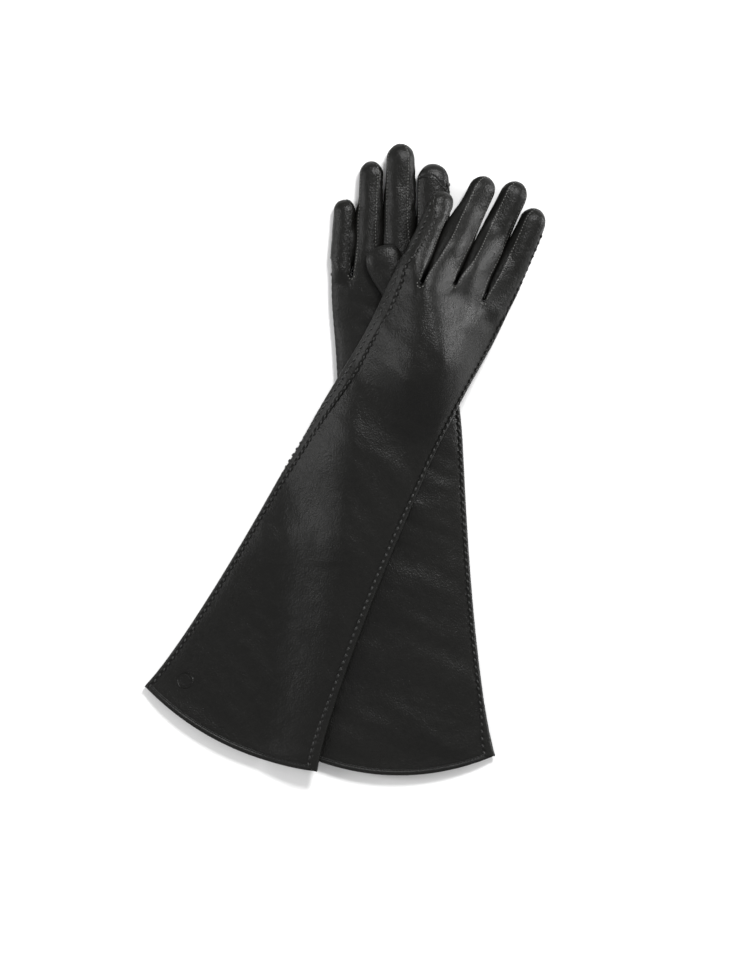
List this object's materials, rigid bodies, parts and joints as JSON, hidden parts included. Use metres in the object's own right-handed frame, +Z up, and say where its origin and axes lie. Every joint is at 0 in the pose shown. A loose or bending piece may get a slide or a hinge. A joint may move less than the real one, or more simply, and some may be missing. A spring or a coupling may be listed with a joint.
{
  "type": "pair of long leather gloves",
  "caption": "Pair of long leather gauntlet gloves with flared cuffs, lined, lying flat and crossed, left over right; fingers fold at the middle knuckle.",
  "frame": {"origin": "centre of the bounding box of the two crossed gloves, on the surface they lie on", "axes": "+Z up; +Y towards the fingertips along the lower, right glove; +X to the right as seen from above"},
  "size_m": [0.2965, 0.4674, 0.0522],
  "materials": {
    "leather": "smooth black nappa with a fine pebble grain and soft sheen",
    "touch_leather": "smoother black conductive leather",
    "binding": "black leather strip rolled round the hem",
    "seam_thread": "raised hand-stitched welt in black waxed thread",
    "lining": "black fine-knit lining"
  },
  "bodies": {
    "right_glove": {"right_back_panel": "leather", "right_palm_panel": "leather", "right_fourchette_index_middle": "leather", "right_fourchette_middle_ring": "leather", "right_fourchette_ring_little": "leather", "right_thumb": "leather", "right_thumb_lining": "lining", "right_lining": "lining", "right_hem_binding": "binding", "right_little_side_seam": "seam_thread", "right_index_side_seam": "seam_thread", "right_touch_patch": "touch_leather"},
    "left_glove": {"left_back_panel": "leather", "left_palm_panel": "leather", "left_fourchette_index_middle": "leather", "left_fourchette_middle_ring": "leather", "left_fourchette_ring_little": "leather", "left_thumb": "leather", "left_thumb_lining": "lining", "left_lining": "lining", "left_hem_binding": "binding", "left_little_side_seam": "seam_thread", "left_index_side_seam": "seam_thread"},
    "left_little": {"left_little_tip_back": "leather", "left_little_tip_palm": "leather", "left_little_tip_fourchettes": "leather", "left_little_tip_lining": "lining"},
    "left_ring": {"left_ring_tip_back": "leather", "left_ring_tip_palm": "leather", "left_ring_tip_fourchettes": "leather", "left_ring_tip_lining": "lining"},
    "left_middle": {"left_middle_tip_back": "leather", "left_middle_tip_palm": "leather", "left_middle_tip_fourchettes": "leather", "left_middle_tip_lining": "lining"},
    "left_index": {"left_index_tip_back": "leather", "left_index_tip_palm": "leather", "left_index_tip_fourchettes": "leather", "left_index_tip_lining": "lining", "left_touch_patch": "touch_leather"},
    "right_little": {"right_little_tip_back": "leather", "right_little_tip_palm": "leather", "right_little_tip_fourchettes": "leather", "right_little_tip_lining": "lining"},
    "right_ring": {"right_ring_tip_back": "leather", "right_ring_tip_palm": "leather", "right_ring_tip_fourchettes": "leather", "right_ring_tip_lining": "lining"},
    "right_middle": {"right_middle_tip_back": "leather", "right_middle_tip_palm": "leather", "right_middle_tip_fourchettes": "leather", "right_middle_tip_lining": "lining"}
  },
  "joints": [
    {"name": "left_glove_lift", "type": "slide", "parent": "right_glove", "child": "left_glove", "axis": [0, 0, 1], "range_m": [0, 0.15]},
    {"name": "left_little_fold", "type": "hinge", "parent": "left_glove", "child": "left_little", "pos_m": [0.06185, 0.16735, 0.03876], "axis": [0.9169, -0.399, 0], "range_deg": [0, 75]},
    {"name": "left_ring_fold", "type": "hinge", "parent": "left_glove", "child": "left_ring", "pos_m": [0.08726, 0.1695, 0.02935], "axis": [0.9069, -0.4215, 0], "range_deg": [0, 75]},
    {"name": "left_middle_fold", "type": "hinge", "parent": "left_glove", "child": "left_middle", "pos_m": [0.11054, 0.1651, 0.01713], "axis": [0.91, -0.4146, 0], "range_deg": [0, 75]},
    {"name": "left_index_fold", "type": "hinge", "parent": "left_glove", "child": "left_index", "pos_m": [0.12637, 0.14956, 0.01401], "axis": [0.9118, -0.4106, 0], "range_deg": [0, 75]},
    {"name": "right_little_fold", "type": "hinge", "parent": "right_glove", "child": "right_little", "pos_m": [-0.00034, 0.16716, 0.01401], "axis": [0.9987, -0.0517, 0], "range_deg": [0, 75]},
    {"name": "right_ring_fold", "type": "hinge", "parent": "right_glove", "child": "right_ring", "pos_m": [0.01851, 0.18223, 0.01401], "axis": [0.9987, -0.0512, 0], "range_deg": [0, 75]},
    {"name": "right_middle_fold", "type": "hinge", "parent": "right_glove", "child": "right_middle", "pos_m": [0.04091, 0.19151, 0.01401], "axis": [0.9998, -0.021, 0], "range_deg": [0, 75]}
  ]
}
